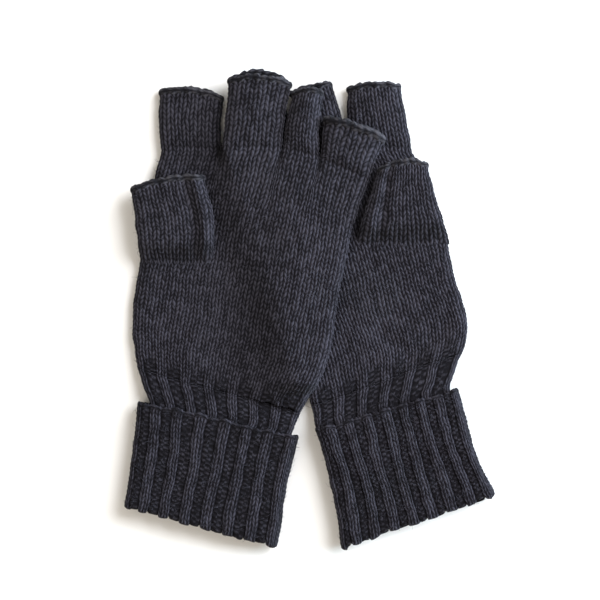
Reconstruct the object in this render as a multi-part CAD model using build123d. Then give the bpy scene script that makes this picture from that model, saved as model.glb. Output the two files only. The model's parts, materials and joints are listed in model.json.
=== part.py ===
from build123d import *
import os

# A pair of knitted fingerless gloves with turned-up ribbed cuffs, laid flat, palms up.
# The left glove lies partly on the right glove. +Z is up, +Y points to the fingertips,
# and the origin is under the middle of the pair, on the surface that it lies on.

# driving dimensions, mm
LAY_THICK = 6.0        # a flattened tube of fabric: two layers and the air between them
WALL = 2.0             # one layer of stockinette
RIB_WALL = 2.1         # one layer of rib in the turned-up cuff
AIR = 0.3              # space between pieces that lie on each other
EDGE_LENGTH = 2.2      # bound-off edge at the end of each finger
EDGE_PROUD = 0.2       # how far a bound-off edge stands out from its finger
SIDE_ROUND = 2.5       # rounding along the sides of a flattened tube
CUFF_THICK = 2 * RIB_WALL + LAY_THICK + 2 * AIR
CUFF_FLOOR = RIB_WALL + AIR       # height of the wrist tube inside the cuff
HEM = 2.5              # depth of the fold at the bottom of the cuff
WRIST_HALF = 28.0      # half width of the rib tube inside the cuff
UPPER = LAY_THICK + AIR           # height at which a piece lies on a flattened tube
RAMP = 9.0             # width over which the left glove climbs onto the right one
NECK_RISE = 4.5        # distance above the cuff at which the wrist tube starts to widen
SLIT = 3.0             # width of the slit where a thumb leaves the palm

# Outlines of the left glove as it lies: each side runs from its base to its end.
LEFT = {
    "hand": [[(-75.5, -26), (-77.5, -9.5), (-76, 8.5), (-73.5, 23.5), (-70, 45.5), (-65, 69.2)],
             [(-1.5, -39), (7.5, -22.5), (12.5, 1.5), (16.5, 22.5), (21.5, 41.5), (26, 54.5)]],
    "knuckles": [(-65, 69.2), (-38, 69.2), (-12, 68.2), (5, 65.2), (26, 54.5)],
    "index": [[(-65, 69.5), (-66, 82), (-65.5, 93.5)], [(-38.3, 69.5), (-38.3, 82), (-37.7, 91.5)]],
    "middle": [[(-37.7, 69.5), (-36.7, 86), (-35, 99.5)], [(-12.3, 68.5), (-10, 83), (-7.5, 97)]],
    "ring": [[(-11.7, 68.5), (-9.5, 83), (-7.2, 93)], [(4.6, 65.6), (4.9, 76), (6, 92.5)]],
    "little": [[(5.4, 65.5), (5.7, 74), (7, 82)], [(26.2, 54.9), (29, 64), (32.5, 72.5)]],
    "thumb": [[(-73.5, 20), (-76, 37), (-77.5, 51.5)], [(-42, 19.5), (-41, 37), (-45.5, 56.5)]],
    "cuff": [[(-81, -86.5), (-75.5, -42)], [(-14, -104.3), (-4.4, -57.8)]],
}

# The right glove mirrors it, turned the other way. Its outer fingers lie under the left glove.
RIGHT = {
    "hand": [[(1, -42.5), (-13.3, 5), (-27.5, 52.2)],
             [(67.5, -19), (69.5, -10.5), (64.5, 15), (60.5, 31), (53.5, 53.5), (45.5, 68.2)]],
    "knuckles": [(-27.5, 52.2), (-15, 60.7), (0, 66.2), (18.5, 69.7), (45.5, 68.2)],
    "index": [[(18.8, 70), (16.5, 84), (16.5, 95)], [(45.5, 68.5), (43.5, 83), (40.5, 97)]],
    "middle": [[(0.3, 66.6), (-4.5, 82), (-8, 93)], [(18.2, 70), (14.5, 84), (10.5, 97.5)]],
    "ring": [[(-14.7, 61.2), (-20, 75), (-24, 85.5)], [(-0.3, 66.5), (-5.5, 79.5), (-10.5, 90)]],
    "little": [[(-27.5, 52.7), (-29.4, 60), (-31.2, 66.5)], [(-15.3, 61), (-19.5, 68), (-22.5, 73)]],
    "thumb": [[(27.5, 27.5), (30, 41.5), (31.8, 60)], [(62, 28.5), (57, 44.5), (52, 62.5)]],
    "cuff": [[(15, -104.3), (3.1, -54.5)], [(80.6, -82), (66.5, -36.5)]],
}

FINGERS = ["index", "middle", "ring", "little"]
UPPER_FINGERS = ["middle", "ring", "little"]      # left fingers that lie on the right glove


def side_curve(points):
    """One side of an outline: a smooth curve, or a straight line between two points."""
    return Spline(*points) if len(points) > 2 else Line(*points)


def plan_face(left, right, end=None):
    """The outline between two sides, closed by straight ends or by the polyline end."""
    far = Polyline(*end) if end else Line(left[-1], right[-1])
    outline = side_curve(left) + far + side_curve(right[::-1]) + Line(right[0], left[0])
    return make_face(outline)


def prism(face, low, high):
    """The face, standing from one height to another."""
    return Pos(0, 0, low) * extrude(face, high - low, dir=(0, 0, 1))


def reach(points, beyond):
    """A side, made longer by a straight step at each end."""
    first, second = Vector(*points[0]), Vector(*points[1])
    last, before = Vector(*points[-1]), Vector(*points[-2])
    start = first + (first - second).normalized() * beyond
    finish = last + (last - before).normalized() * beyond
    return [(start.X, start.Y), *points, (finish.X, finish.Y)]


def shrink(left, right, inset):
    """Both sides of an outline, moved towards each other."""
    inner_left, inner_right = [], []
    for a, b in zip(left, right):
        across = (Vector(*b) - Vector(*a)).normalized() * inset
        inner_left.append((a[0] + across.X, a[1] + across.Y))
        inner_right.append((b[0] - across.X, b[1] - across.Y))
    return inner_left, inner_right


def flat_tube(sides, low, wall=WALL, thick=LAY_THICK):
    """A flattened tube, open at both ends."""
    left, right = sides
    solid = prism(plan_face(left, right), low, low + thick)
    long_edges = solid.edges().filter_by(lambda e: on_side(e, left, right, low, low + thick))
    solid = fillet(long_edges, SIDE_ROUND)
    in_left, in_right = shrink(left, right, wall)
    hollow = plan_face(reach(in_left, 3 * wall), reach(in_right, 3 * wall))
    return solid - prism(hollow, low + wall, low + thick - wall)


def on_side(edge, left, right, low, high):
    """Whether an edge runs along a side of the tube, at its underside or its top."""
    middle = edge.position_at(0.5)
    level = min(abs(middle.Z - low), abs(middle.Z - high)) < 0.01
    ends = [edge.position_at(0), edge.position_at(1)]
    for side in (left, right):
        corners = [Vector(*side[0]), Vector(*side[-1])]
        hits = [min((Vector(e.X, e.Y) - c).length for c in corners) < 0.01 for e in ends]
        if level and all(hits) and (ends[0] - ends[1]).length > edge.length * 0.9:
            near = min((Vector(ends[0].X, ends[0].Y) - corners[0]).length,
                       (Vector(ends[1].X, ends[1].Y) - corners[0]).length)
            return near < 0.01
    return False


def end_ring(sides, low):
    """The bound-off edge at the end of a finger or thumb: a short, slightly wider tube."""
    left, right = sides
    a, b = Vector(*left[-1]), Vector(*right[-1])
    across = (b - a).normalized()
    out = across.rotate(Axis.Z, 90)
    start_left = a - across * EDGE_PROUD
    start_right = b + across * EDGE_PROUD
    stop_left = start_left + out * EDGE_LENGTH
    stop_right = start_right + out * EDGE_LENGTH
    ring_left = [(start_left.X, start_left.Y), (stop_left.X, stop_left.Y)]
    ring_right = [(start_right.X, start_right.Y), (stop_right.X, stop_right.Y)]
    outer = prism(plan_face(ring_left, ring_right), low, low + LAY_THICK)
    in_left, in_right = shrink(ring_left, ring_right, WALL + EDGE_PROUD)
    hollow = plan_face(reach(in_left, WALL), reach(in_right, WALL))
    return outer - prism(hollow, low + WALL, low + LAY_THICK - WALL)


def hollow_hand(shape):
    """Outer and inner outlines of a hand. The inner one is open at the wrist and the knuckles."""
    left, right = shape["hand"]
    outer = plan_face(left, right, shape["knuckles"])
    inner_left = [(x + WALL, y) for x, y in left]
    inner_right = [(x - WALL, y) for x, y in right]
    knuckles = [(x, y + 3 * WALL) for x, y in shape["knuckles"]]
    knuckles[0] = reach(inner_left, 3 * WALL)[-1]
    knuckles[-1] = reach(inner_right, 3 * WALL)[-1]
    inner = plan_face(reach(inner_left, 3 * WALL), reach(inner_right, 3 * WALL), knuckles)
    return outer, inner


def climbing_band(low, thick):
    """A thick sheet that lies low under the left part of the hand and climbs onto the right glove."""
    wrist, middle, knuckle = RIGHT["hand"][0]
    along = (Vector(*knuckle) - Vector(*wrist)).normalized()
    plane = Plane(origin=(wrist[0], wrist[1], 0), x_dir=(along.Y, -along.X, 0), z_dir=(-along.X, -along.Y, 0))
    far = 200
    foot, top = -RAMP - AIR, -AIR
    profile = [(-far, low), (foot, low), (top, low + UPPER), (far, low + UPPER)]
    section = make_face(Polyline(*profile, *[(x, z + thick) for x, z in profile[::-1]], profile[0]))
    return extrude(plane * section, far, both=True)


def thumb_slit(shape, low):
    """The slit in the palm, just under the base of the thumb."""
    (a, b) = shape["thumb"][0][0], shape["thumb"][1][0]
    start, stop = Vector(*a), Vector(*b)
    middle = (start + stop) * 0.5
    return Pos(middle.X, middle.Y + SLIT, low) * Box((stop - start).length - 4 * WALL, SLIT, 2 * WALL)


def right_hand():
    outer, inner = hollow_hand(RIGHT)
    hand = prism(outer, 0, LAY_THICK) - prism(inner, WALL, LAY_THICK - WALL)
    return hand - thumb_slit(RIGHT, LAY_THICK)


def left_hand():
    outer, inner = hollow_hand(LEFT)
    tall = 3 * LAY_THICK
    shell = prism(outer, -1, tall) & climbing_band(0, LAY_THICK)
    hollow = prism(inner, -1, tall) & climbing_band(WALL, LAY_THICK - 2 * WALL)
    return shell - hollow - thumb_slit(LEFT, LAY_THICK)


def slab(a, b, low, high):
    """An upright rectangle across the wrist, from a to b, between two heights."""
    return make_face(Polyline((*a, low), (*b, low), (*b, high), (*a, high), (*a, low)))


def wrist_lines(shape):
    """Four lines across the wrist tube: at the hand, at the top of the cuff, and at its bottom."""
    hand = [Vector(*shape["hand"][0][0]), Vector(*shape["hand"][1][0])]
    across = (hand[1] - hand[0]).normalized()
    down = across.rotate(Axis.Z, -90)
    cuff_left, cuff_right = shape["cuff"]
    top = (Vector(*cuff_left[1]) + Vector(*cuff_right[1])) * 0.5
    bottom = (Vector(*cuff_left[0]) + Vector(*cuff_right[0])) * 0.5
    return hand, across, down, top, bottom


def wrist_tube(shape):
    """The rib between the hand and the fold of the cuff, most of it inside the cuff."""
    hand, across, down, top, bottom = wrist_lines(shape)
    start = [h + down * AIR for h in hand]
    axis = (bottom - top).normalized()
    square = axis.rotate(Axis.Z, 90)
    neck = [top - square * WRIST_HALF - axis * NECK_RISE, top + square * WRIST_HALF - axis * NECK_RISE]
    foot_middle = bottom - axis * (HEM + AIR)
    foot = [foot_middle - square * WRIST_HALF, foot_middle + square * WRIST_HALF]
    solid, hollow = None, None
    for inset in (0, WALL):
        levels = [(start, 0), (neck, CUFF_FLOOR), (foot, CUFF_FLOOR)]
        sections = []
        for (a, b), low in levels:
            step = (b - a).normalized() * inset
            near, far = a + step, b - step
            sections.append(slab((near.X, near.Y), (far.X, far.Y), low + inset, low + LAY_THICK - inset))
        body = loft(sections[:2], ruled=True) + loft(sections[1:], ruled=True)
        if inset:
            hollow = body
        else:
            solid = body
    return solid - hollow


def cuff_frame(shape):
    """The four corners of a cuff, and its direction from its top edge to its fold."""
    left, right = [[Vector(*p) for p in side] for side in shape["cuff"]]
    axis = ((left[0] + right[0]) - (left[1] + right[1])).normalized()
    return left, right, axis


def quad(left, right):
    return plan_face([(p.X, p.Y) for p in left], [(p.X, p.Y) for p in right])


def cuff(shape):
    """The turned-up outer layer of rib, closed round the wrist tube by the fold at its bottom."""
    left, right, axis = cuff_frame(shape)
    outer = prism(quad(left, right), 0, CUFF_THICK)
    outer = fillet(outer.edges().filter_by(lambda e: long_cuff_edge(e, left, right)), SIDE_ROUND)
    square = axis.rotate(Axis.Z, 90)
    top, bottom = (left[1] + right[1]) * 0.5, (left[0] + right[0]) * 0.5
    half = WRIST_HALF + AIR
    room_top, room_end = top - axis * 9, bottom - axis * HEM
    room = quad([room_end - square * half, room_top - square * half],
                [room_end + square * half, room_top + square * half])
    mouth_half = WRIST_HALF - WALL
    mouth_end = bottom + axis * 9
    mouth = quad([mouth_end - square * mouth_half, room_end - square * mouth_half],
                 [mouth_end + square * mouth_half, room_end + square * mouth_half])
    low = CUFF_FLOOR + WALL
    hollow = prism(room, RIB_WALL, CUFF_THICK - RIB_WALL)
    return outer - hollow - prism(mouth, low, CUFF_THICK - low)


def long_cuff_edge(edge, left, right):
    """Whether an edge runs down a side of the cuff."""
    a, b = edge.position_at(0), edge.position_at(1)
    if abs(a.Z - b.Z) > 0.01:
        return False
    for side in (left, right):
        gaps = [min((Vector(p.X, p.Y) - c).length for c in side) for p in (a, b)]
        whole = abs((a - b).length - (side[0] - side[1]).length) < 0.01
        if max(gaps) < 0.01 and whole:
            return True
    return False


def cuff_edge(shape):
    """The cast-on edge, a thin band along the top of the turned-up layer."""
    left, right, axis = cuff_frame(shape)
    rise = axis * -EDGE_LENGTH
    band = quad([left[1], left[1] + rise], [right[1], right[1] + rise])
    square = axis.rotate(Axis.Z, 90)
    top = (left[1] + right[1]) * 0.5
    half = WRIST_HALF + AIR
    room = quad([top + axis * 20 - square * half, top - axis * 20 - square * half],
                [top + axis * 20 + square * half, top - axis * 20 + square * half])
    return prism(band, 0, CUFF_THICK) - prism(room, RIB_WALL, CUFF_THICK - RIB_WALL)


def build_pair():
    """Every piece of the pair by node name."""
    nodes = {"left_hand": left_hand(), "right_hand": right_hand()}
    for name, shape in (("left", LEFT), ("right", RIGHT)):
        for finger in FINGERS:
            low = UPPER if name == "left" and finger in UPPER_FINGERS else 0
            nodes[f"{name}_{finger}"] = flat_tube(shape[finger], low)
            nodes[f"{name}_{finger}_edge"] = end_ring(shape[finger], low)
        nodes[f"{name}_thumb"] = flat_tube(shape["thumb"], UPPER)
        nodes[f"{name}_thumb_edge"] = end_ring(shape["thumb"], UPPER)
        nodes[f"{name}_wrist"] = wrist_tube(shape)
        nodes[f"{name}_cuff"] = cuff(shape)
        nodes[f"{name}_cuff_edge"] = cuff_edge(shape)
    return nodes


def middle_of(nodes):
    """The place of the middle of the pair's box, seen from above, where the origin goes."""
    boxes = [solid.bounding_box() for solid in nodes.values()]
    middle_x = (min(b.min.X for b in boxes) + max(b.max.X for b in boxes)) / 2
    middle_y = (min(b.min.Y for b in boxes) + max(b.max.Y for b in boxes)) / 2
    return middle_x, middle_y


os.makedirs("parts", exist_ok=True)
pieces = build_pair()
origin_x, origin_y = middle_of(pieces)
for node, solid in pieces.items():
    export_step(Pos(-origin_x, -origin_y, 0) * solid, f"parts/{node}.step")
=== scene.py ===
import json
import bpy
import numpy as np
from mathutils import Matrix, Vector

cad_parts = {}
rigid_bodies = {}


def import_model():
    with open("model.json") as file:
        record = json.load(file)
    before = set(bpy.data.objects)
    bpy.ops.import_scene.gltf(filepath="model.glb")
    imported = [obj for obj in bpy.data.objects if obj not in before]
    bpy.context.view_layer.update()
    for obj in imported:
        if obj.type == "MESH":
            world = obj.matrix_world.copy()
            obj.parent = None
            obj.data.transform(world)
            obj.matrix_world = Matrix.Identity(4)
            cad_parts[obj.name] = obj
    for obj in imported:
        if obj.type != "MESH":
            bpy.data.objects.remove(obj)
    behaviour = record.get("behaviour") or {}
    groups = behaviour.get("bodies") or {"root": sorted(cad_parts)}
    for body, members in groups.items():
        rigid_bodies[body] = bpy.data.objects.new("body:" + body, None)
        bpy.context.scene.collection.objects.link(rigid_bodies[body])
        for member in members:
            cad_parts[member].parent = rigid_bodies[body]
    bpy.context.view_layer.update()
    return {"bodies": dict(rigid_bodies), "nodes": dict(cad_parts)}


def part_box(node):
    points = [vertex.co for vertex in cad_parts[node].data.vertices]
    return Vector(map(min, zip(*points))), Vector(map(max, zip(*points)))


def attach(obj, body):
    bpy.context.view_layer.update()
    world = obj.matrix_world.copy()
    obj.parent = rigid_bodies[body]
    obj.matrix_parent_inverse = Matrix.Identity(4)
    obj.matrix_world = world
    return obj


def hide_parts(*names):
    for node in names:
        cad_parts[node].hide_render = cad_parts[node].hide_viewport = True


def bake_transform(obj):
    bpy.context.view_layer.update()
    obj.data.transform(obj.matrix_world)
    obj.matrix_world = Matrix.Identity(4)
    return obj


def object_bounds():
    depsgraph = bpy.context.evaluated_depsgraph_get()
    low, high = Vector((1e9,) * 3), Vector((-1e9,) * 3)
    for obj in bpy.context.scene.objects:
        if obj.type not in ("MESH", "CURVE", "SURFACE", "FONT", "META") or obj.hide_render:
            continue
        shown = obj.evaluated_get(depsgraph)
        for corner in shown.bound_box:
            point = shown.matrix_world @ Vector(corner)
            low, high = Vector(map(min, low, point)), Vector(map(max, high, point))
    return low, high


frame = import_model()
print("frame loaded", len(frame["nodes"]), "nodes")

toMetres = 0.001
waleSteps = 6          # grid columns in a wale
rowSteps = 4           # grid rows in a row of stitches
rowPitch = 2.05        # mm of knitting in a row of stitches
lean = 0.95            # rows that a leg of a stitch climbs on its way out to the groove
layer = 6.0            # mm, one flattened tube
upperLift = 6.3        # mm, underside of whatever lies on the other glove
sideRadius = 4.6       # mm, how far in from its side a tube starts to round off


# 3 v squared less 2 v cubed, for v held between 0 and 1
def smoothStep(v):
    v = np.clip(v, 0, 1)
    return v * v * (3 - 2 * v)


# points in mm: the low corner of the node's box plus that share of its width and its length
def boxPoints(node, shares):
    low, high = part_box(node)
    low, high = np.array(low[:2]) * 1000, np.array(high[:2]) * 1000
    return low + np.asarray(shares, float) * (high - low)


# a cubic through the points, its slope at each taken from the points on both sides
def smoothLine(points, t):
    points = np.asarray(points, float)
    chord = np.r_[0, np.cumsum(np.linalg.norm(np.diff(points, axis=0), axis=1))]
    chord = chord / chord[-1]
    slope = np.gradient(points, chord, axis=0)
    k = np.clip(np.searchsorted(chord, t, "right") - 1, 0, len(chord) - 2)
    gap = (chord[k + 1] - chord[k])[:, None]
    u = (t[:, None] - chord[k][:, None]) / gap
    start = (1 + 2 * u) * (1 - u) ** 2 * points[k] + u * (1 - u) ** 2 * gap * slope[k]
    return start + u * u * (3 - 2 * u) * points[k + 1] + u * u * (u - 1) * gap * slope[k + 1]


# mean length of two side lines, measured between their ends
def middleLength(leftPoints, rightPoints):
    return np.linalg.norm(leftPoints[-1] + rightPoints[-1] - leftPoints[0] - rightPoints[0]) / 2


# half of a flattened tube: a quarter ellipse, a straight, a quarter ellipse, evenly walked
def halfRing(width, corner, halfHeight, share):
    quarter = np.pi * (corner + halfHeight) / 4
    straight = width - 2 * corner
    walked = share * (2 * quarter + straight)
    first = np.clip(walked / quarter, 0, 1) * np.pi / 2
    last = np.clip((walked - quarter - straight) / quarter, 0, 1) * np.pi / 2
    across = corner * (1 - np.cos(first)) + np.clip(walked - quarter, 0, straight)
    across = across + corner * np.sin(last)
    return across, halfHeight * (np.sin(first) - (1 - np.cos(last)))


# each vector divided by its own length
def unitLength(v):
    return v / np.maximum(np.linalg.norm(v, axis=-1, keepdims=True), 1e-9)


# outward normals of a grid that closes on itself across: the step round it crossed with the step along it
def gridNormals(grid):
    along = np.gradient(grid, axis=0)
    around = np.roll(grid, -1, 1) - np.roll(grid, 1, 1)
    return unitLength(np.cross(around, along))


# the sum of seven sine waves in seeded directions, about -1 to 1, each wave about that many mm long
def ripple(x, y, length, seed):
    dice = np.random.default_rng(seed)
    waves = 7
    total = 0 * x
    for _ in range(waves):
        turn, phase, stretch = dice.uniform(0, 2 * np.pi), dice.uniform(0, 2 * np.pi), dice.uniform(0.7, 1.5)
        wave = (x * np.cos(turn) + y * np.sin(turn)) * 2 * np.pi / (length * stretch)
        total = total + np.sin(wave + phase)
    return total * 2 / waves


unevenLook = {"slow": 0.45, "slowLength": 34, "quick": 0.22, "quickLength": 8, "dentLengths": (21, 8)}


# hand-laid knitting is never quite even: each point moves by one long ripple and one short one, in x and in y
def drift(flat):
    x, y = flat[..., 0], flat[..., 1]
    slow = [ripple(x, y, unevenLook["slowLength"], seed) for seed in (11, 12)]
    quick = [ripple(x, y, unevenLook["quickLength"], seed) for seed in (13, 14)]
    return flat + unevenLook["slow"] * np.stack(slow, -1) + unevenLook["quick"] * np.stack(quick, -1)


# shallow dents in the upper side, never a bump: the mean of two ripples less one, times the depth
def dents(x, y, depth):
    long, short = unevenLook["dentLengths"]
    return depth * (0.5 * ripple(x, y, long, 21) + 0.5 * ripple(x, y, short, 22) - 1)


# height of plain knitting: two legs to a wale, each a sine across, pinched by a cosine along
def plainStitch(wale, row):
    m = np.abs(2 * (wale % 1) - 1)
    leg = np.sin(np.pi * m) ** 0.8
    pinch = 0.5 + 0.5 * np.cos(2 * np.pi * (row - lean * m))
    return leg * (0.45 + 0.55 * pinch ** 0.7)


# height of a rib: bands of two wales, each a superellipse across; every other band is low, with bars
def ribStitch(wale, row):
    edge = np.abs(wale % 2 - 1)
    band = np.sqrt(np.clip(1 - edge ** 3.5, 0, 1))
    purl = np.clip(0.5 - 2.2 * np.cos(np.pi * (wale - 1) / 2), 0, 1)
    rise = (1 - 0.42 * purl) * (0.22 + 0.78 * band)
    bars = 0.5 + 0.5 * np.cos(2 * np.pi * (row + 0.5 * np.floor(wale)))
    fine = (1 - purl) * plainStitch(wale, row) + purl * 0.85 * bars
    return rise, fine, purl


# perSquare is fibres to a square mm, taper is shares of the radius, the rest is in mm
fibreLook = {"perSquare": 0.15, "length": (1.2, 3.5), "lift": (0.1, 0.8), "curl": 1.3, "radius": 0.055,
             "taper": (1.0, 0.85, 0.4), "lowest": 0.1}


# each fibre is its root, plus a line ahead, a sine up and a square aside, as a closed four-sided strand
def looseFibres(grid, first):
    dice = np.random.default_rng(grid.size)
    normals = gridNormals(grid)
    size = np.linalg.norm(np.cross(np.diff(grid, axis=0)[:, :-1], np.diff(grid, axis=1)[:-1]), axis=-1)
    count = int(size.sum() * fibreLook["perSquare"])
    r, c = dice.integers(2, grid.shape[0] - 2, count), dice.integers(0, grid.shape[1], count)
    # none on the underside
    upper = normals[r, c, 2] > -0.2
    root, out = grid[r, c][upper], normals[r, c][upper]
    count = len(root)
    ahead = dice.normal(size=(count, 3))
    ahead = unitLength(ahead - out * (ahead * out).sum(-1, keepdims=True))
    aside = np.cross(ahead, out)
    length, lift = dice.uniform(*fibreLook["length"], count), dice.uniform(*fibreLook["lift"], count)
    curl = dice.uniform(-1, 1, count) * fibreLook["curl"]
    s = np.linspace(0, 1, len(fibreLook["taper"]))
    along, up, off = length[:, None] * s, lift[:, None] * np.sin(2.4 * s), curl[:, None] * s ** 2
    middle = root[:, None] + ahead[:, None] * along[..., None] + out[:, None] * up[..., None]
    middle = middle + aside[:, None] * off[..., None]
    middle[..., 2] = np.maximum(middle[..., 2], fibreLook["lowest"])
    turn = np.arange(4) * np.pi / 2
    spoke = out[:, None] * np.cos(turn)[None, :, None] + aside[:, None] * np.sin(turn)[None, :, None]
    thick = fibreLook["radius"] * np.array(fibreLook["taper"])
    verts = middle[:, :, None] + spoke[:, None] * thick[None, :, None, None]
    stations = len(thick)
    k, j = np.meshgrid(np.arange(stations - 1), np.arange(4), indexing="ij")
    n = (j + 1) % 4
    sides = np.stack([k * 4 + j, k * 4 + n, k * 4 + 4 + n, k * 4 + 4 + j], -1).reshape(-1, 4)
    strand = np.concatenate([sides, [[3, 2, 1, 0], 4 * stations - 4 + np.arange(4)]])
    quads = (strand[None] + 4 * stations * np.arange(count)[:, None, None]).reshape(-1, 4) + first
    return verts.reshape(-1, 3) * toMetres, quads


# one closed mesh: the outer grid, the inner grid turned inwards, a ring of faces at each rim, and the fibres
def meshFromGrids(name, outer, inner, wale, row, shadeFactor, slotName, purl=0.0):
    rows, cols = outer.shape[:2]
    innerRows = inner.shape[0]
    after = wale + 1 / waleSteps
    verts = np.concatenate([outer.reshape(-1, 3), inner.reshape(-1, 3)]) * toMetres
    r, c = np.meshgrid(np.arange(rows - 1), np.arange(cols), indexing="ij")
    nxt = (c + 1) % cols
    faces = np.stack([r * cols + c, r * cols + nxt, (r + 1) * cols + nxt, (r + 1) * cols + c], -1)
    u = np.stack([wale[c], after[c], after[c], wale[c]], -1)
    v = np.stack([row[r], row[r], row[r + 1], row[r + 1]], -1)
    quads, us, vs = [faces.reshape(-1, 4)], [u.reshape(-1, 4)], [v.reshape(-1, 4)]
    shift = rows * cols
    r, c = np.meshgrid(np.arange(innerRows - 1), np.arange(cols), indexing="ij")
    nxt = (c + 1) % cols
    faces = np.stack([r * cols + c, (r + 1) * cols + c, (r + 1) * cols + nxt, r * cols + nxt], -1) + shift
    innerRow = np.linspace(row[0], row[-1], innerRows)
    u = np.stack([wale[c], wale[c], after[c], after[c]], -1)
    v = np.stack([innerRow[r], innerRow[r + 1], innerRow[r + 1], innerRow[r]], -1)
    quads.append(faces.reshape(-1, 4))
    us.append(u.reshape(-1, 4))
    vs.append(v.reshape(-1, 4))
    c = np.arange(cols)
    nxt = (c + 1) % cols
    startRim = np.stack([c, shift + c, shift + nxt, nxt], -1)
    top, innerTop = (rows - 1) * cols, shift + (innerRows - 1) * cols
    endRim = np.stack([top + c, top + nxt, innerTop + nxt, innerTop + c], -1)
    quads += [startRim, endRim]
    us += [np.stack([wale, wale, after, after], -1), np.stack([wale, after, after, wale], -1)]
    vs += [np.full((cols, 4), row[0]), np.full((cols, 4), row[-1])]
    shown, bars = [np.broadcast_to(a, (rows, cols)).ravel() for a in (shadeFactor, purl)]
    strands, strandQuads = looseFibres(outer, len(verts))
    quads.append(strandQuads)
    us.append(np.full(strandQuads.shape, 0.25))
    vs.append(np.full(strandQuads.shape, 0.5 * lean))
    # painted shade: the inner walls keep only a quarter of the tone, the fibres all of it
    both = np.concatenate([shown, np.full(innerRows * cols, 0.25), np.ones(len(strands))])
    bars = np.concatenate([bars, np.ones(innerRows * cols), np.zeros(len(strands))])
    piece = meshObject(name, np.concatenate([verts, strands]), np.concatenate(quads), np.concatenate(us),
                       np.concatenate(vs), both, slotName, bars)
    sharpRims(piece.data, cols, (0, rows - 1, rows, rows + innerRows - 1))
    return piece


# the rims of a tube stay crisp, so that the knitting shades evenly right up to them
def sharpRims(mesh, cols, rims):
    ends = np.zeros(len(mesh.edges) * 2, np.int32)
    mesh.edges.foreach_get("vertices", ends)
    ring = ends.reshape(-1, 2) // cols
    sharp = (ring[:, 0] == ring[:, 1]) & np.isin(ring[:, 0], rims)
    mark = mesh.attributes.new("sharp_edge", "BOOLEAN", "EDGE")
    mark.data.foreach_set("value", sharp)
    mesh.update()


# a mesh of quads in metres, with wale and row as its uv map, and at each point its shade factor, the share of
# the tone that painted shade leaves, and its purl
def meshObject(name, verts, quads, us, vs, shadeFactor, slotName, purl=None):
    mesh = bpy.data.meshes.new(name)
    mesh.vertices.add(len(verts))
    mesh.vertices.foreach_set("co", verts.astype(np.float32).ravel())
    mesh.loops.add(quads.size)
    mesh.loops.foreach_set("vertex_index", quads.astype(np.int32).ravel())
    mesh.polygons.add(len(quads))
    mesh.polygons.foreach_set("loop_start", np.arange(0, quads.size, 4, dtype=np.int32))
    mesh.update(calc_edges=True)
    mesh.polygons.foreach_set("use_smooth", np.ones(len(quads), bool))
    uv = mesh.uv_layers.new(name="stitch")
    uv.data.foreach_set("uv", np.stack([us.ravel(), vs.ravel()], -1).astype(np.float32).ravel())
    for label, values in (("shadeFactor", shadeFactor), ("purl", 0 * shadeFactor if purl is None else purl)):
        attribute = mesh.attributes.new(label, "FLOAT", "POINT")
        attribute.data.foreach_set("value", values.astype(np.float32))
    mesh.update()
    piece = bpy.data.objects.new(name, mesh)
    bpy.context.collection.objects.link(piece)
    piece.data.materials.append(materials[slotName])
    return piece


# one Math node: a number goes on its socket, anything else is linked to it
def mathNode(tree, kind, a, b=None, c=None):
    node = tree.nodes.new("ShaderNodeMath")
    node.operation = kind
    for k, value in enumerate((a, b, c)):
        if value is None:
            continue
        if isinstance(value, (int, float)):
            node.inputs[k].default_value = value
        else:
            tree.links.new(value, node.inputs[k])
    return node.outputs[0]


# in each look, dark is the painted shade of the grooves and light the tone of the stitch crests
woolLooks = {
    "stockinette": {"dark": (0.0050, 0.0045, 0.0064), "light": (0.0405, 0.0385, 0.0500), "sheen": 0.06},
    "rib_knit": {"dark": (0.0048, 0.0043, 0.0062), "light": (0.0415, 0.0395, 0.0515), "sheen": 0.06},
    # the rolled edge chain is a lighter copy of the wool, a painted highlight where it catches the light,
    # with a deeper dark as painted shade in its pinches
    "bound_edge": {"dark": (0.0040, 0.0036, 0.0052), "light": (0.060, 0.058, 0.068), "sheen": 0.10},
}

# scale, detail, then how far the tone swings round its middle
fibreNoise = {"scale": 1.7, "detail": 5.0, "tone": 0.60, "bump": 0.35, "roughness": 0.7}
heatherNoise = {"scale": 700.0, "detail": 3.0, "tone": 0.50, "bump": 0.30}
patchNoise = {"scale": 45.0, "detail": 2.0, "tone": 0.44}
legNoise = {"tone": 0.50, "middle": 0.58}
surfaceLook = {"dark": 0.26, "bump": 0.65, "bumpDepth": 0.00035, "roughness": 0.95, "specular": 0.12,
               "sheenRoughness": 0.5, "sheenTint": (0.66, 0.68, 0.76, 1)}


# a noise texture set up from one of the dictionaries above
def noiseNode(tree, vector, noise):
    node = tree.nodes.new("ShaderNodeTexNoise")
    node.inputs["Scale"].default_value = noise["scale"]
    node.inputs["Detail"].default_value = noise["detail"]
    if "roughness" in noise:
        node.inputs["Roughness"].default_value = noise["roughness"]
    tree.links.new(vector, node.inputs["Vector"])
    return node.outputs[0]
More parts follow.
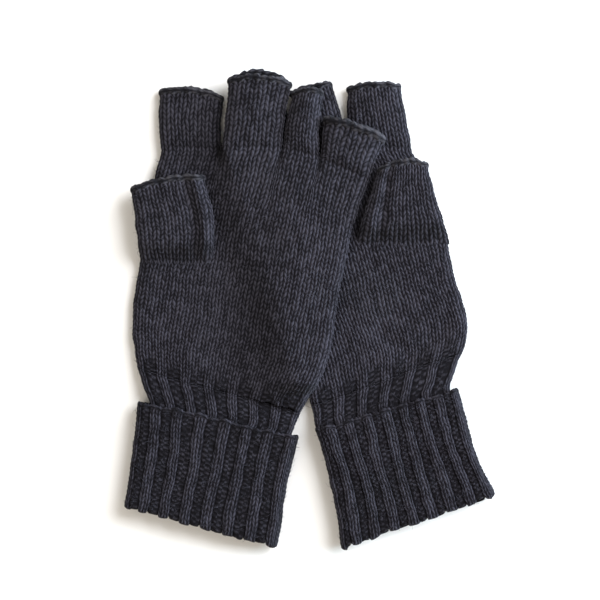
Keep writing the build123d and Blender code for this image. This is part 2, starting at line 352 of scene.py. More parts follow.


# tone is the stitch's height again, from wale and row, so that the grooves between legs and bars carry
# painted shade, times the shade factor, plus noise for each leg, fibre, fleck and patch
def woolMaterial(name, look):
    material = bpy.data.materials.new(name)
    material.use_nodes = True
    tree = material.node_tree
    shader = tree.nodes["Principled BSDF"]
    link = tree.links.new
    uv = tree.nodes.new("ShaderNodeUVMap")
    uv.uv_map = "stitch"
    split = tree.nodes.new("ShaderNodeSeparateXYZ")
    link(uv.outputs[0], split.inputs[0])
    wale, row = split.outputs[0], split.outputs[1]
    signed = mathNode(tree, "MULTIPLY_ADD", mathNode(tree, "FRACT", wale), 2.0, -1.0)
    m = mathNode(tree, "ABSOLUTE", signed)
    climb = mathNode(tree, "MULTIPLY_ADD", m, -lean, row)
    leg = mathNode(tree, "POWER", mathNode(tree, "SINE", mathNode(tree, "MULTIPLY", m, np.pi)), 0.8)
    wave = mathNode(tree, "COSINE", mathNode(tree, "MULTIPLY", climb, 2 * np.pi))
    pinch = mathNode(tree, "POWER", mathNode(tree, "MULTIPLY_ADD", wave, 0.5, 0.5), 0.7)
    legs = mathNode(tree, "MULTIPLY", leg, mathNode(tree, "MULTIPLY_ADD", pinch, 0.55, 0.45))
    step = mathNode(tree, "MULTIPLY_ADD", mathNode(tree, "FLOOR", wale), 0.5, row)
    bars = mathNode(tree, "COSINE", mathNode(tree, "MULTIPLY", step, 2 * np.pi))
    bars = mathNode(tree, "MULTIPLY_ADD", bars, 0.36, 0.40)
    purl = tree.nodes.new("ShaderNodeAttribute")
    purl.attribute_name = "purl"
    change = mathNode(tree, "SUBTRACT", bars, legs)
    stroke = mathNode(tree, "MULTIPLY_ADD", change, purl.outputs["Fac"], legs)
    cell = tree.nodes.new("ShaderNodeCombineXYZ")
    link(mathNode(tree, "FLOOR", mathNode(tree, "MULTIPLY", wale, 2.0)), cell.inputs[0])
    link(mathNode(tree, "FLOOR", mathNode(tree, "ADD", climb, 0.5)), cell.inputs[1])
    each = tree.nodes.new("ShaderNodeTexWhiteNoise")
    link(cell.outputs[0], each.inputs["Vector"])
    strand = tree.nodes.new("ShaderNodeCombineXYZ")
    link(mathNode(tree, "MULTIPLY", m, 6.0), strand.inputs[0])
    link(mathNode(tree, "MULTIPLY", climb, 1.3), strand.inputs[1])
    link(mathNode(tree, "MULTIPLY", mathNode(tree, "FLOOR", wale), 3.7), strand.inputs[2])
    fibre = noiseNode(tree, strand.outputs[0], fibreNoise)
    place = tree.nodes.new("ShaderNodeTexCoord")
    heather = noiseNode(tree, place.outputs["Object"], heatherNoise)
    patch = noiseNode(tree, place.outputs["Object"], patchNoise)
    shadeFactor = tree.nodes.new("ShaderNodeAttribute")
    shadeFactor.attribute_name = "shadeFactor"
    shown = mathNode(tree, "MULTIPLY", stroke, shadeFactor.outputs["Fac"])
    level = shown
    swings = ((each.outputs[0], legNoise), (fibre, fibreNoise), (heather, heatherNoise), (patch, patchNoise))
    for value, noise in swings:
        tone, centre = noise["tone"], noise.get("middle", 0.5)
        level = mathNode(tree, "ADD", level, mathNode(tree, "MULTIPLY_ADD", value, tone, -tone * centre))
    # painted shade: low tone, down in the grooves, takes the dark colour, and the stitch crests take the
    # light one
    ramp = tree.nodes.new("ShaderNodeValToRGB")
    ramp.color_ramp.elements[0].color = (*look["dark"], 1)
    ramp.color_ramp.elements[0].position = surfaceLook["dark"]
    ramp.color_ramp.elements[1].color = (*look["light"], 1)
    ramp.color_ramp.elements[1].position = 1.0
    link(level, ramp.inputs[0])
    link(ramp.outputs[0], shader.inputs["Base Color"])
    height = mathNode(tree, "MULTIPLY_ADD", fibre, fibreNoise["bump"], stroke)
    height = mathNode(tree, "MULTIPLY_ADD", heather, heatherNoise["bump"], height)
    bump = tree.nodes.new("ShaderNodeBump")
    bump.inputs["Strength"].default_value = surfaceLook["bump"]
    bump.inputs["Distance"].default_value = surfaceLook["bumpDepth"]
    link(height, bump.inputs["Height"])
    link(bump.outputs[0], shader.inputs["Normal"])
    shader.inputs["Roughness"].default_value = surfaceLook["roughness"]
    shader.inputs["Specular IOR Level"].default_value = surfaceLook["specular"]
    shader.inputs["Sheen Weight"].default_value = look["sheen"]
    shader.inputs["Sheen Roughness"].default_value = surfaceLook["sheenRoughness"]
    shader.inputs["Sheen Tint"].default_value = surfaceLook["sheenTint"]
    return material


materials = {name: woolMaterial(name, look) for name, look in woolLooks.items()}
print("materials made")


# outlines are shares of the hand's or the cuff's box, from the wrist up; each is a left and a right line
# low is the share of the lift at the mouth; bow and gape are mm the mouth bulges and its upper lip sits back
# swell is the share added to the height; edge is the chain's size out and along, in mm
# neck is mm from the wrist's middle line to its sides; flare is mm the cuff spreads at its lower edge
# knitShare is how far each knit band of the cuff spreads over the purl bands beside it
leftGlove = {
    "side": "left",
    "palm": [[(0.019, 0.12), (0.0, 0.273), (0.014, 0.439), (0.039, 0.578), (0.072, 0.781), (0.121, 1.0)],
             [(0.722, -0.058), (0.821, 0.132), (0.87, 0.374), (0.908, 0.568), (0.957, 0.744), (1.0, 0.864)]],
    "knuckles": [(0.121, 1.0), (0.382, 1.0), (0.633, 0.991), (0.797, 0.963), (1.0, 0.864)],
    "fingers": [
        {"name": "index", "wales": 9, "low": 0.0, "bow": 3.0, "swell": 0.50, "gape": 0.8, "edge": (1.2, 1.6),
         "lines": [[(0.111, 1.118), (0.116, 1.225)], [(0.379, 1.118), (0.385, 1.206)]]},
        {"name": "middle", "wales": 8, "low": 1.0, "bow": 5.0, "swell": 0.55, "gape": 2.4, "edge": (1.2, 1.6),
         "lines": [[(0.394, 1.155), (0.411, 1.275)], [(0.652, 1.127), (0.676, 1.252)]]},
        {"name": "ring", "wales": 6, "low": 1.0, "bow": 2.0, "swell": 0.80, "gape": 0.5, "edge": (1.2, 1.5),
         "lines": [[(0.657, 1.127), (0.679, 1.22)], [(0.796, 1.063), (0.807, 1.215)]]},
        {"name": "little", "wales": 7, "low": 1.0, "bow": 2.0, "swell": 0.55, "gape": 0.5, "edge": (1.6, 2.0),
         "lines": [[(0.804, 1.044), (0.816, 1.118)], [(1.029, 0.952), (1.063, 1.03)]]},
    ],
    "thumb": [[(0.039, 0.545), (0.014, 0.702), (0.0, 0.836)],
              [(0.343, 0.541), (0.353, 0.702), (0.309, 0.883)]],
    "cuff": [[(0.0, 0.286), (0.072, 1.0)], [(0.875, 0.0), (1.0, 0.746)]],
    "cuffWales": 32,
    "neck": (30.5, 34.0),
    "flare": 0.8,
    "knitShare": 0.12,
}
rightGlove = {
    "side": "right",
    "palm": [[(0.294, 0.0), (0.146, 0.423), (0.0, 0.844)],
             [(0.978, 0.209), (0.999, 0.285), (0.947, 0.512), (0.906, 0.655), (0.834, 0.856),
              (0.752, 0.987)]],
    "knuckles": [(0.0, 0.844), (0.129, 0.92), (0.283, 0.969), (0.474, 1.0), (0.752, 0.987)],
    "fingers": [
        {"name": "little", "wales": 5, "low": 0.0, "bow": 1.0, "swell": 0.0, "gape": 0.0, "edge": (1.1, 1.4),
         "lines": [[(-0.02, 0.914), (-0.038, 0.971)], [(0.082, 0.985), (0.051, 1.029)]]},
        {"name": "ring", "wales": 5, "low": 0.0, "bow": 1.0, "swell": 0.0, "gape": 0.0, "edge": (1.1, 1.4),
         "lines": [[(0.077, 1.047), (0.036, 1.141)], [(0.227, 1.087), (0.175, 1.181)]]},
        {"name": "middle", "wales": 7, "low": 0.0, "bow": 1.0, "swell": 0.0, "gape": 0.0, "edge": (1.1, 1.4),
         "lines": [[(0.237, 1.11), (0.201, 1.208)], [(0.433, 1.127), (0.391, 1.248)]]},
        {"name": "index", "wales": 9, "low": 0.0, "bow": 2.0, "swell": 0.50, "gape": 0.6, "edge": (1.2, 1.5),
         "lines": [[(0.453, 1.127), (0.453, 1.225)], [(0.731, 1.118), (0.7, 1.243)]]},
    ],
    "thumb": [[(0.490, 0.624), (0.534, 0.749), (0.592, 0.914)],
              [(0.922, 0.633), (0.87, 0.775), (0.819, 0.936)]],
    "cuff": [[(0.154, 0.0), (0.0, 0.734)], [(1.0, 0.329), (0.818, 1.0)]],
    "cuffWales": 36,
    "neck": (32.5, 29.0),
    "flare": 1.8,
    "knitShare": 0.30,
}


# line is where the climb is done, ramp how long it is at each of the first three points, wrist its end; mm
climbLook = {"line": [(0.758, -0.032), (0.483, 0.843), (0.392, 1.0), (0.392, 1.4)],
             "ramp": [19.0, 22.0, 2.5], "wrist": 7}


# the left glove's lift: a smooth step across from the table onto the other glove, times one up from the wrist
def leftLift(x, y):
    line = boxPoints("left_hand", climbLook["line"])
    full = np.interp(y, line[:, 1], line[:, 0])
    ramp = np.interp(y, line[:3, 1], climbLook["ramp"])
    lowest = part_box("left_hand")[0].y * 1000
    fromWrist = smoothStep((y - lowest) / climbLook["wrist"])
    return upperLift * smoothStep((x - full + ramp) / ramp) * fromWrist


# nothing: this glove lies on the table
def noLift(x, y):
    return 0 * x


# a soft hill or hollow: the height times a bell curve of the distance from a bent line
def fold(x, y, line, width, height):
    best = np.full(x.shape, 1e9)
    for a, b in zip(line[:-1], line[1:]):
        d = b - a
        t = np.clip(((x - a[0]) * d[0] + (y - a[1]) * d[1]) / (d @ d), 0, 1)
        best = np.minimum(best, np.hypot(x - a[0] - t * d[0], y - a[1] - t * d[1]))
    return height * np.exp(-(best / width) ** 2)


leftFolds = [
    {"line": [(0.60, 0.03), (0.72, 0.0)], "width": 9.0, "height": 3.2},
    {"line": [(0.55, 0.64), (0.50, 0.395), (0.435, 0.15)], "width": 10.0, "height": -1.5},
    {"line": [(0.70, 0.80), (0.66, 0.45), (0.62, 0.2)], "width": 15.0, "height": 1.6},
]
rightFolds = [
    {"line": [(0.62, 0.28), (0.74, 0.20), (0.90, 0.30)], "width": 4.0, "height": -1.2},
]


# the sum of the glove's folds
def drape(glove, x, y):
    node = glove["side"] + "_hand"
    folds = leftFolds if glove["side"] == "left" else rightFolds
    total = 0 * x
    for one in folds:
        total = total + fold(x, y, boxPoints(node, one["line"]), one["width"], one["height"])
    return total


# columns run over the top from the left side to the right side, then back underneath
def columns(wales):
    half = wales * waleSteps
    j = np.arange(2 * half)
    share = np.where(j < half, j / half, 2 - j / half)
    return j / waleSteps, share, np.where(j < half, 1.0, -1.0)


# the stitches are cut into the surface, so that nothing stands out beyond the tube itself
def knit(base, normals, height, depth):
    return base - normals * ((1 - height) * depth)[..., None]


# the inside of the wall: the surface moved in along its normals, on fewer rows
def innerGrid(base, normals, wall, count):
    pick = np.linspace(0, base.shape[0] - 1, count).round().astype(int)
    return (base - normals * wall)[pick]


# mm, except knuckleShare and bendPower, how near the knuckles the stitches bunch into fingers
# ribWave is the share by which the rib's fading line wanders, and the length in mm of its waves
palmLook = {"depth": 0.62, "wall": 1.5, "innerRows": 14, "ribDepth": 1.1, "ribLength": 9, "dent": 0.35,
            "knuckleShare": 0.30, "bendPower": 2.2, "tipLength": 11, "ribWave": (0.25, 9)}


# a flattened tube between two side curves, plus its folds; near the knuckles the finger spacing takes over
def makeHand(glove, lift):
    side = glove["side"]
    node = side + "_hand"
    wales = sum(f["wales"] for f in glove["fingers"])
    wale, share, face = columns(wales)
    leftPoints, rightPoints = [boxPoints(node, p) for p in glove["palm"]]
    knuckles = boxPoints(node, glove["knuckles"])
    length = middleLength(leftPoints, rightPoints)
    rows = int(round(length / rowPitch))
    t = np.linspace(0, 1, rows * rowSteps + 1)
    left, right = smoothLine(leftPoints, t), smoothLine(rightPoints, t)
    width = np.linalg.norm(right - left, axis=1)[:, None]
    half = layer / 2
    spread, _ = halfRing(width, sideRadius, half, share[None, :])
    steps = np.linalg.norm(np.diff(knuckles, axis=0), axis=1)
    reach = np.r_[0, np.cumsum(steps)]
    counts = np.r_[0, np.cumsum([f["wales"] for f in glove["fingers"]])]
    which = np.clip(np.searchsorted(counts, share * wales, "right") - 1, 0, len(steps) - 1)
    local = (share * wales - counts[which]) / np.diff(counts)[which]
    fingerAcross, fingerRise = halfRing(steps[which], sideRadius, half, local)
    atKnuckles = ((reach[which] + fingerAcross) / reach[-1])[None, :]
    bunch = smoothStep((t[:, None] - 1) / palmLook["knuckleShare"] + 1)
    s = spread / width + (atKnuckles - spread / width) * bunch
    straight = left[:, None] + (right - left)[:, None] * s[..., None]
    bent = np.stack([np.interp(s, reach / reach[-1], knuckles[:, k]) for k in (0, 1)], -1)
    level = knuckles[0] + (knuckles[-1] - knuckles[0]) * s[..., None]
    flat = drift(straight + (bent - level) * (t[:, None, None] ** palmLook["bendPower"]))
    inside = 1 - np.minimum(np.minimum(s, 1 - s) * width / sideRadius, 1)
    rounded = half * np.sqrt(np.clip(1 - inside ** 2, 0, None))
    tipShare = palmLook["tipLength"] / length
    nearTip = smoothStep((t[:, None] - 1 + tipShare) / tipShare) ** 1.5
    rise = rounded + (fingerRise[None, :] - rounded) * nearTip
    x, y = flat[..., 0], flat[..., 1]
    top = np.where(face[None, :] > 0, smoothStep(rise / half), 0)
    z = lift(x, y) + half + face[None, :] * rise
    z = z + top * (drape(glove, x, y) + dents(x, y, palmLook["dent"]))
    base = np.stack([x, y, z], -1)
    normals = gridNormals(base)
    row = t * rows
    # the rib of the wrist fades into the palm over a wavy line
    wander, waveLength = palmLook["ribWave"]
    fade = 1 - t[:, None] * length / palmLook["ribLength"]
    ribWeight = smoothStep(fade + wander * ripple(x, y, waveLength, 5))
    rib, fine, purl = ribStitch(wale[None, :], row[:, None])
    plain = plainStitch(wale[None, :] + 0 * row[:, None], row[:, None])
    height = plain + (fine - plain) * ribWeight
    base = base - normals * (ribWeight * (1 - rib) * palmLook["ribDepth"])[..., None]
    # painted shade: the rib's low purl bands keep less tone, fading out with the rib
    shadeFactor = 1 - 0.7 * ribWeight * (1 - rib)
    outer = knit(base, normals, height, palmLook["depth"])
    inner = innerGrid(base, normals, palmLook["wall"], palmLook["innerRows"])
    hand = meshFromGrids(side + "_palm_knit", outer, inner, wale, row, shadeFactor, "stockinette",
                         purl * ribWeight)
    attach(hand, side + "_glove")
    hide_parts(node)
    return {"knuckles": knuckles, "left0": left[0], "right0": right[0], "wales": wales}


# pinch, swell and uneven are shares of the radius; waver and wobble are mm along and out; lean is in lobes
chainLook = {"turns": 12, "knots": 40, "pinch": 0.66, "swell": 0.40, "uneven": 0.10, "waver": 0.28,
             "wobble": 0.12, "lean": (0.16, 0.08)}


# a tube round a closed path; its radius swells as a cosine, one lobe to a stitch, that leans on its way round
def makeBead(name, path, outward, along, radius, lobes, slotName="bound_edge"):
    n = len(path)
    turns, knots = chainLook["turns"], chainLook["knots"]
    theta = np.linspace(0, 2 * np.pi, turns, endpoint=False)[None, :]
    phi = (np.arange(n) / n)[:, None]
    dice = np.random.default_rng(len(name) * 7 + n)
    offsets = np.r_[0, dice.uniform(-1, 1, knots - 1), 0]
    uneven = np.interp(phi[:, 0] * knots, np.arange(knots + 1), offsets)
    path = path + along * (uneven * chainLook["waver"])[:, None]
    path = path + outward * (np.roll(uneven, 17) * chainLook["wobble"])[:, None]
    around, stray = chainLook["lean"]
    swell = np.abs(np.cos(np.pi * (lobes * phi + around * np.sin(theta) + stray * uneven[:, None]))) ** 0.7
    grow = chainLook["pinch"] + (chainLook["swell"] + chainLook["uneven"] * uneven[:, None]) * swell
    outPart = radius[0] * np.cos(theta)[..., None] * outward[:, None]
    alongPart = radius[1] * np.sin(theta)[..., None] * along[:, None]
    ring = path[:, None] + grow[..., None] * (outPart + alongPart)
    r, c = np.meshgrid(np.arange(n), np.arange(turns), indexing="ij")
    rn, cn = (r + 1) % n, (c + 1) % turns
    quads = np.stack([r * turns + c, r * turns + cn, rn * turns + cn, rn * turns + c], -1).reshape(-1, 4)
    u = np.stack([c, c + 1, c + 1, c], -1).reshape(-1, 4) / turns * 2
    v = np.stack([r, r, r + 1, r + 1], -1).reshape(-1, 4) / n * lobes
    # painted shade in the pinches between the chain's lobes
    shadeFactor = np.broadcast_to(0.15 + 0.85 * swell, (n, turns))
    return meshObject(name, ring.reshape(-1, 3) * toMetres, quads, u, v, shadeFactor.ravel(), slotName)


# the chain lies just inside the tube's last row and a little past it
def edgePath(base, normals, sunk, past):
    along = unitLength(base[-1] - base[-4])
    return base[-1] - normals[-1] * sunk + along * past, along


# bends over that many mm from the base, from the glove's body to the finger's
fingerLook = {"depth": 0.62, "wall": 1.4, "innerRows": 6, "dent": 0.35, "lobe": 3.3, "settle": 2.2,
              "groove": 0.55, "grooveAt": 1.6, "grooveWidth": 1.5, "grooveStart": 1.2,
              "edgeSunk": 0.8, "edgePast": 0.7}


# a flattened tube between two side curves; its mouth bows out as a parabola and its upper side swells as one
def makeFinger(glove, number, hand, lift):
    side = glove["side"]
    finger = glove["fingers"][number]
    node = side + "_" + finger["name"]
    wale, share, face = columns(finger["wales"])
    lines = [boxPoints(side + "_hand", p) for p in finger["lines"]]
    baseLeft, baseRight = hand["knuckles"][number], hand["knuckles"][number + 1]
    leftPoints, rightPoints = np.vstack([baseLeft, lines[0]]), np.vstack([baseRight, lines[1]])
    length = middleLength(leftPoints, rightPoints)
    rows = int(round(length / rowPitch))
    t = np.linspace(0, 1, rows * rowSteps + 1)
    left, right = smoothLine(leftPoints, t), smoothLine(rightPoints, t)
    width = np.linalg.norm(right - left, axis=1)[:, None]
    half = layer / 2
    across, rise = halfRing(width, sideRadius, half, share[None, :])
    s = across / width
    tip = unitLength(left[-1] - left[-3] + right[-1] - right[-3])
    flat = left[:, None] + (right - left)[:, None] * s[..., None]
    hump = 4 * s * (1 - s)
    front = np.where(face[None, :] > 0, finger["gape"], 0)
    flat = drift(flat + tip * (hump * (finger["bow"] * t[:, None] ** 2 - front * t[:, None] ** 5))[..., None])
    x, y = flat[..., 0], flat[..., 1]
    settle = smoothStep(t[:, None] * fingerLook["settle"])
    low = lift(x, y) * (1 - settle) + finger["low"] * upperLift * settle
    top = np.where(face[None, :] > 0, smoothStep(rise / half), 0)
    puff = 1 + finger["swell"] * hump * settle * (face[None, :] > 0)
    z = low + half + face[None, :] * rise * puff
    fromBase = t[:, None] * length
    groove = np.exp(-((fromBase - fingerLook["grooveAt"]) / fingerLook["grooveWidth"]) ** 2)
    groove = -fingerLook["groove"] * groove * smoothStep(fromBase / fingerLook["grooveStart"])
    z = z + top * (drape(glove, x, y) * (1 - settle) + dents(x, y, fingerLook["dent"]) + groove)
    base = np.stack([x, y, z], -1)
    normals = gridNormals(base)
    row = t * rows
    height = plainStitch(wale[None, :] + 0 * row[:, None], row[:, None])
    outer = knit(base, normals, height, fingerLook["depth"])
    inner = innerGrid(base, normals, fingerLook["wall"], fingerLook["innerRows"])
    piece = meshFromGrids(node + "_knit", outer, inner, wale, row, height * 0 + 1, "stockinette")
    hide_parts(node)
    path, along = edgePath(base, normals, fingerLook["edgeSunk"], fingerLook["edgePast"])
    around = np.linalg.norm(np.diff(path, axis=0, append=path[:1]), axis=1).sum()
    lobes = max(8, int(round(around / fingerLook["lobe"])))
    bead = makeBead(node + "_edge_chain", path, normals[-1], along, finger["edge"], lobes)
    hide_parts(node + "_edge")
    if node in frame["bodies"]:
        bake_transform(piece)
        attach(bead, node)
    else:
        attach(piece, side + "_glove")
        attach(bead, side + "_glove")


# ridge and crease: height in mm, then place and width as shares of the thumb's width from its outer side
thumbLook = {"wales": 11, "depth": 0.62, "wall": 1.4, "innerRows": 6, "dent": 0.3, "bow": 2.0, "swell": 0.22,
             "sunk": 4.2, "sunkLength": 10, "thinner": 0.35, "ridge": (0.9, 0.87, 0.07),
             "crease": (1.1, 0.74, 0.06), "edge": (1.2, 1.6), "lobes": 18, "edgeSunk": 0.8, "edgePast": 0.7}


# a flattened tube on the palm, its base sunk into it; two bell curves across make its ridge and crease
def makeThumb(glove):
    side = glove["side"]
    node = side + "_thumb"
    wale, share, face = columns(thumbLook["wales"])
    leftPoints, rightPoints = [boxPoints(side + "_hand", p) for p in glove["thumb"]]
    length = middleLength(leftPoints, rightPoints)
    rows = int(round(length / rowPitch))
    t = np.linspace(0, 1, rows * rowSteps + 1)
    left, right = smoothLine(leftPoints, t), smoothLine(rightPoints, t)
    width = np.linalg.norm(right - left, axis=1)[:, None]
    sunk = smoothStep(1 - t[:, None] * length / thumbLook["sunkLength"])
    half = layer / 2 * (1 - thumbLook["thinner"] * sunk)
    across, rise = halfRing(width, sideRadius, half, share[None, :])
    s = across / width
    tip = unitLength(left[-1] - left[-3] + right[-1] - right[-3])
    flat = left[:, None] + (right - left)[:, None] * s[..., None]
    flat = drift(flat + tip * (thumbLook["bow"] * (1 - (2 * s - 1) ** 2) * t[:, None] ** 2)[..., None])
    upper = np.where(face > 0, 1, 0)[None, :]
    puff = 1 + thumbLook["swell"] * 4 * s * (1 - s) * (1 - sunk) * upper
    inward = s if side == "left" else 1 - s
    (high, highAt, highWidth), (deep, deepAt, deepWidth) = thumbLook["ridge"], thumbLook["crease"]
    ridge = high * np.exp(-((inward - highAt) / highWidth) ** 2)
    ridge = ridge - deep * np.exp(-((inward - deepAt) / deepWidth) ** 2)
    z = upperLift - thumbLook["sunk"] * sunk + half + face[None, :] * rise * puff + upper * ridge * (1 - sunk)
    z = z + upper * (rise / half) * dents(flat[..., 0], flat[..., 1], thumbLook["dent"])
    base = np.concatenate([flat, z[..., None]], -1)
    normals = gridNormals(base)
    row = t * rows
    height = plainStitch(wale[None, :] + 0 * row[:, None], row[:, None])
    outer = knit(base, normals, height, thumbLook["depth"])
    inner = innerGrid(base, normals, thumbLook["wall"], thumbLook["innerRows"])
    piece = meshFromGrids(node + "_knit", outer, inner, wale, row, height * 0 + 1, "stockinette")
    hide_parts(node)
    path, along = edgePath(base, normals, thumbLook["edgeSunk"], thumbLook["edgePast"])
    bead = makeBead(node + "_edge_chain", path, normals[-1], along, thumbLook["edge"], thumbLook["lobes"])
    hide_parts(node + "_edge")
    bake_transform(piece)
    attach(bead, node)


# groove is the share of tone that painted shade leaves in the rib's low purl bands
ribLook = {"ribDepth": 1.5, "fine": 0.5, "groove": 0.30}
# half is from the wrist's middle line to its side, floor is its underside inside the cuff; all in mm
# except soften and widen, the shares of the length over which the flare and the cuff's mouth begin
wristLook = {"half": 29.0, "floor": 2.4, "wall": 1.7, "innerRows": 10, "foot": 2.8, "neck": 3.0,
             "straight": 6.0, "soften": 0.04, "widen": 0.16}


# a flattened tube, straight inside the cuff, that flares from its neck to the palm along a smooth step
def makeWrist(glove, hand):
    side = glove["side"]
    node = side + "_wrist"
    wale, share, face = columns(hand["wales"])
    (lowLeft, topLeft), (lowRight, topRight) = [boxPoints(side + "_cuff", p) for p in glove["cuff"]]
    top, bottom = (topLeft + topRight) / 2, (lowLeft + lowRight) / 2
    up = unitLength(top - bottom)
    square = np.array([up[1], -up[0]])
    foot, neck = bottom + up * wristLook["foot"], top + up * wristLook["neck"]
    nearLeft, nearRight = glove["neck"]
    beside = square * wristLook["half"]
    straightTop = top - up * wristLook["straight"]
    leftPoints = np.array([foot - beside, straightTop - beside, neck - square * nearLeft, hand["left0"]])
    rightPoints = np.array([foot + beside, straightTop + beside, neck + square * nearRight, hand["right0"]])
    length = middleLength(leftPoints, rightPoints)
    rows = int(round(length / rowPitch))
    t = np.linspace(0, 1, rows * rowSteps + 1)
    # straight inside the cuff, a little wider at its mouth, then a soft flare out to the palm
    corner = np.linalg.norm(neck - foot) / length
    soften, widen = wristLook["soften"], wristLook["widen"]
    flare = smoothStep((t - corner + soften) / (1 - corner + soften))[:, None]
    inFoot = np.clip(t / corner, 0, 1)[:, None]
    mouth = smoothStep((t - corner + widen) / widen)[:, None]
    left, right = [p[0] + (neck - foot) * inFoot + (p[2] - p[0] - neck + foot) * mouth
                   + (p[3] - p[2]) * flare for p in (leftPoints, rightPoints)]
    width = np.linalg.norm(right - left, axis=1)[:, None]
    half = layer / 2
    across, rise = halfRing(width, sideRadius, half, share[None, :])
    flat = drift(left[:, None] + (right - left)[:, None] * (across / width)[..., None])
    z = wristLook["floor"] * (1 - flare) + half + face[None, :] * rise
    base = np.concatenate([flat, z[..., None]], -1)
    normals = gridNormals(base)
    row = (t - 1) * rows
    rib, fine, purl = ribStitch(wale[None, :], row[:, None])
    deep = ribLook["ribDepth"] + (palmLook["ribDepth"] - ribLook["ribDepth"]) * flare
    base = base - normals * ((1 - rib) * deep)[..., None]
    # painted shade in the rib's low purl bands
    shadeFactor = ribLook["groove"] + (1 - ribLook["groove"]) * rib
    outer = knit(base, normals, fine, ribLook["fine"])
    inner = innerGrid(base, normals, wristLook["wall"], wristLook["innerRows"])
    piece = meshFromGrids(node + "_rib", outer, inner, wale, row, shadeFactor, "rib_knit", purl)
    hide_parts(node)
    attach(piece, side + "_glove")


# height is the turned-up cuff round its wrist; fold is how far up its lower edge is rounded; all in mm
cuffLook = {"height": 10.8, "side": 4.0, "wall": 1.3, "innerRows": 6, "dent": 0.5, "wander": 0.22,
            "fold": 2.6, "foldDepth": 1.6, "foldWave": 1.5, "topWave": 1.1,
            "edge": (0.9, 1.2), "edgeSunk": 0.9, "edgePast": 0.6}


# a flattened tube with straight sides; knit bands are spread and purl bands narrowed by a cosine of the wale
def makeCuff(glove):
    side = glove["side"]
    node = side + "_cuff"
    wales = glove["cuffWales"]
    wale, share, face = columns(wales)
    (lowLeft, topLeft), (lowRight, topRight) = [boxPoints(node, p) for p in glove["cuff"]]
    length = np.linalg.norm(topLeft + topRight - lowLeft - lowRight) / 2
    rows = int(round(length / rowPitch))
    t = np.linspace(0, 1, rows * rowSteps + 1)
    out = unitLength(lowRight - lowLeft) * glove["flare"] * ((1 - t) ** 4 - 0.5 * np.sin(np.pi * t))[:, None]
    left = lowLeft + (topLeft - lowLeft) * t[:, None] - out
    right = lowRight + (topRight - lowRight) * t[:, None] + out
    width = np.linalg.norm(right - left, axis=1)[:, None]
    half = cuffLook["height"] / 2
    wider = glove["knitShare"] * 2 / np.pi * (1 - np.cos(np.pi * wale / 2))
    wander = ripple(wale[None, :] * 2.2, t[:, None] * length, 30, 31) * np.sin(np.pi * share)[None, :]
    spaced = (wale + wider)[None, :] + cuffLook["wander"] * wander
    share = np.where(face[None, :] > 0, spaced, 2 * wales - spaced) / wales
    across, rise = halfRing(width, cuffLook["side"], half, np.clip(share, 0, 1))
    flat = drift(left[:, None] + (right - left)[:, None] * (across / width)[..., None])
    upper = np.where(face > 0, 1, 0)[None, :]
    z = half + face[None, :] * rise
    z = z + upper * (rise / half) * dents(flat[..., 0], flat[..., 1], cuffLook["dent"])
    base = np.concatenate([flat, z[..., None]], -1)
    normals = gridNormals(base)
    row = t * rows
    rib, fine, purl = ribStitch(wale[None, :], row[:, None])
    turned = 1 - np.sqrt(np.clip(1 - np.clip(1 - t * length / cuffLook["fold"], 0, 1) ** 2, 0, 1))
    sunk = (1 - rib) * ribLook["ribDepth"] + turned[:, None] * cuffLook["foldDepth"]
    base = base - normals * sunk[..., None]
    # each band reaches a little past its neighbours, down at the fold and up at the edge
    down = np.r_[unitLength(lowLeft + lowRight - topLeft - topRight), 0]
    wave = cuffLook["foldWave"] * (1 - t[:, None]) ** 6 - cuffLook["topWave"] * t[:, None] ** 8
    base = base + down * ((rib - 0.6) * wave)[..., None]
    # painted shade in the rib's low purl bands
    shadeFactor = ribLook["groove"] + (1 - ribLook["groove"]) * rib
    outer = knit(base, normals, fine, ribLook["fine"])
    inner = innerGrid(base, normals, cuffLook["wall"], cuffLook["innerRows"])
    piece = meshFromGrids(node + "_rib", outer, inner, wale, row, shadeFactor, "rib_knit", purl)
    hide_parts(node)
    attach(piece, node)
    path, along = edgePath(base, normals, cuffLook["edgeSunk"], cuffLook["edgePast"])
    bead = makeBead(node + "_edge_chain", path, normals[-1], along, cuffLook["edge"], wales * 2, "rib_knit")
    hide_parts(node + "_edge")
    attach(bead, node)


for glove, lift in ((leftGlove, leftLift), (rightGlove, noLift)):
    hand = makeHand(glove, lift)
    print(glove["side"], "palm knitted,", hand["wales"] * 2, "wales round")
    for number in range(4):
        makeFinger(glove, number, hand, lift)
    makeThumb(glove)
    makeWrist(glove, hand)
    makeCuff(glove)
    print(glove["side"], "fingers, thumb, wrist and cuff knitted")


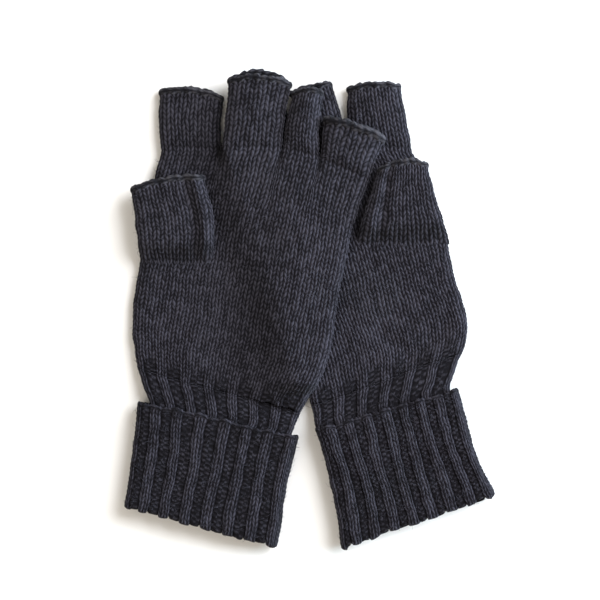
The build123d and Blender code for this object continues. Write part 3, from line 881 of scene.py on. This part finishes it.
low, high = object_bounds()
middle = (low + high) / 2
tableHalf, tableTop = 3, -0.0002       # metres
corners = [(x * tableHalf, y * tableHalf, tableTop) for x, y in ((-1, -1), (1, -1), (1, 1), (-1, 1))]
mesh = bpy.data.meshes.new("floor")
mesh.from_pydata(corners, [], [(0, 1, 2, 3)])
floor = bpy.data.objects.new("floor", mesh)
bpy.context.collection.objects.link(floor)
paper = bpy.data.materials.new("pale_floor")
paper.use_nodes = True
paper.node_tree.nodes["Principled BSDF"].inputs["Base Color"].default_value = (0.86, 0.85, 0.83, 1)
paper.node_tree.nodes["Principled BSDF"].inputs["Roughness"].default_value = 0.9
mesh.materials.append(paper)


# a square light that looks at the middle of the gloves
def areaLight(name, place, size, power, colour):
    data = bpy.data.lights.new(name, "AREA")
    data.size = size
    data.energy = power
    data.color = colour
    lamp = bpy.data.objects.new(name, data)
    lamp.location = place
    lamp.rotation_euler = (Vector(place) - middle).to_track_quat("Z", "Y").to_euler()
    bpy.context.collection.objects.link(lamp)


# place and size in metres, power in watts
lights = {
    "window": {"place": (1.0, 0.78, 1.1), "size": 1.2, "power": 48, "colour": (0.92, 0.95, 1.0)},
    "side": {"place": (1.3, 0.1, 0.28), "size": 0.5, "power": 36, "colour": (0.66, 0.84, 1.0)},
    "lamp": {"place": (-0.7, -0.5, 1.3), "size": 0.9, "power": 5, "colour": (1.0, 0.90, 0.78)},
}
for name, light in lights.items():
    areaLight(name, light["place"], light["size"], light["power"], light["colour"])
world = bpy.data.worlds.new("studio")
world.use_nodes = True
world.node_tree.nodes["Background"].inputs[0].default_value = (1.0, 0.945, 0.86, 1)
world.node_tree.nodes["Background"].inputs[1].default_value = 0.56
bpy.context.scene.world = world
bpy.context.scene.view_settings.view_transform = "Standard"

cameraData = bpy.data.cameras.new("camera")
cameraData.sensor_width = 36           # mm
cameraData.lens = 163.6                # mm
camera = bpy.data.objects.new("camera", cameraData)
camera.location = (-0.0036, 0.0052, 1.2)
bpy.context.collection.objects.link(camera)
bpy.context.scene.camera = camera
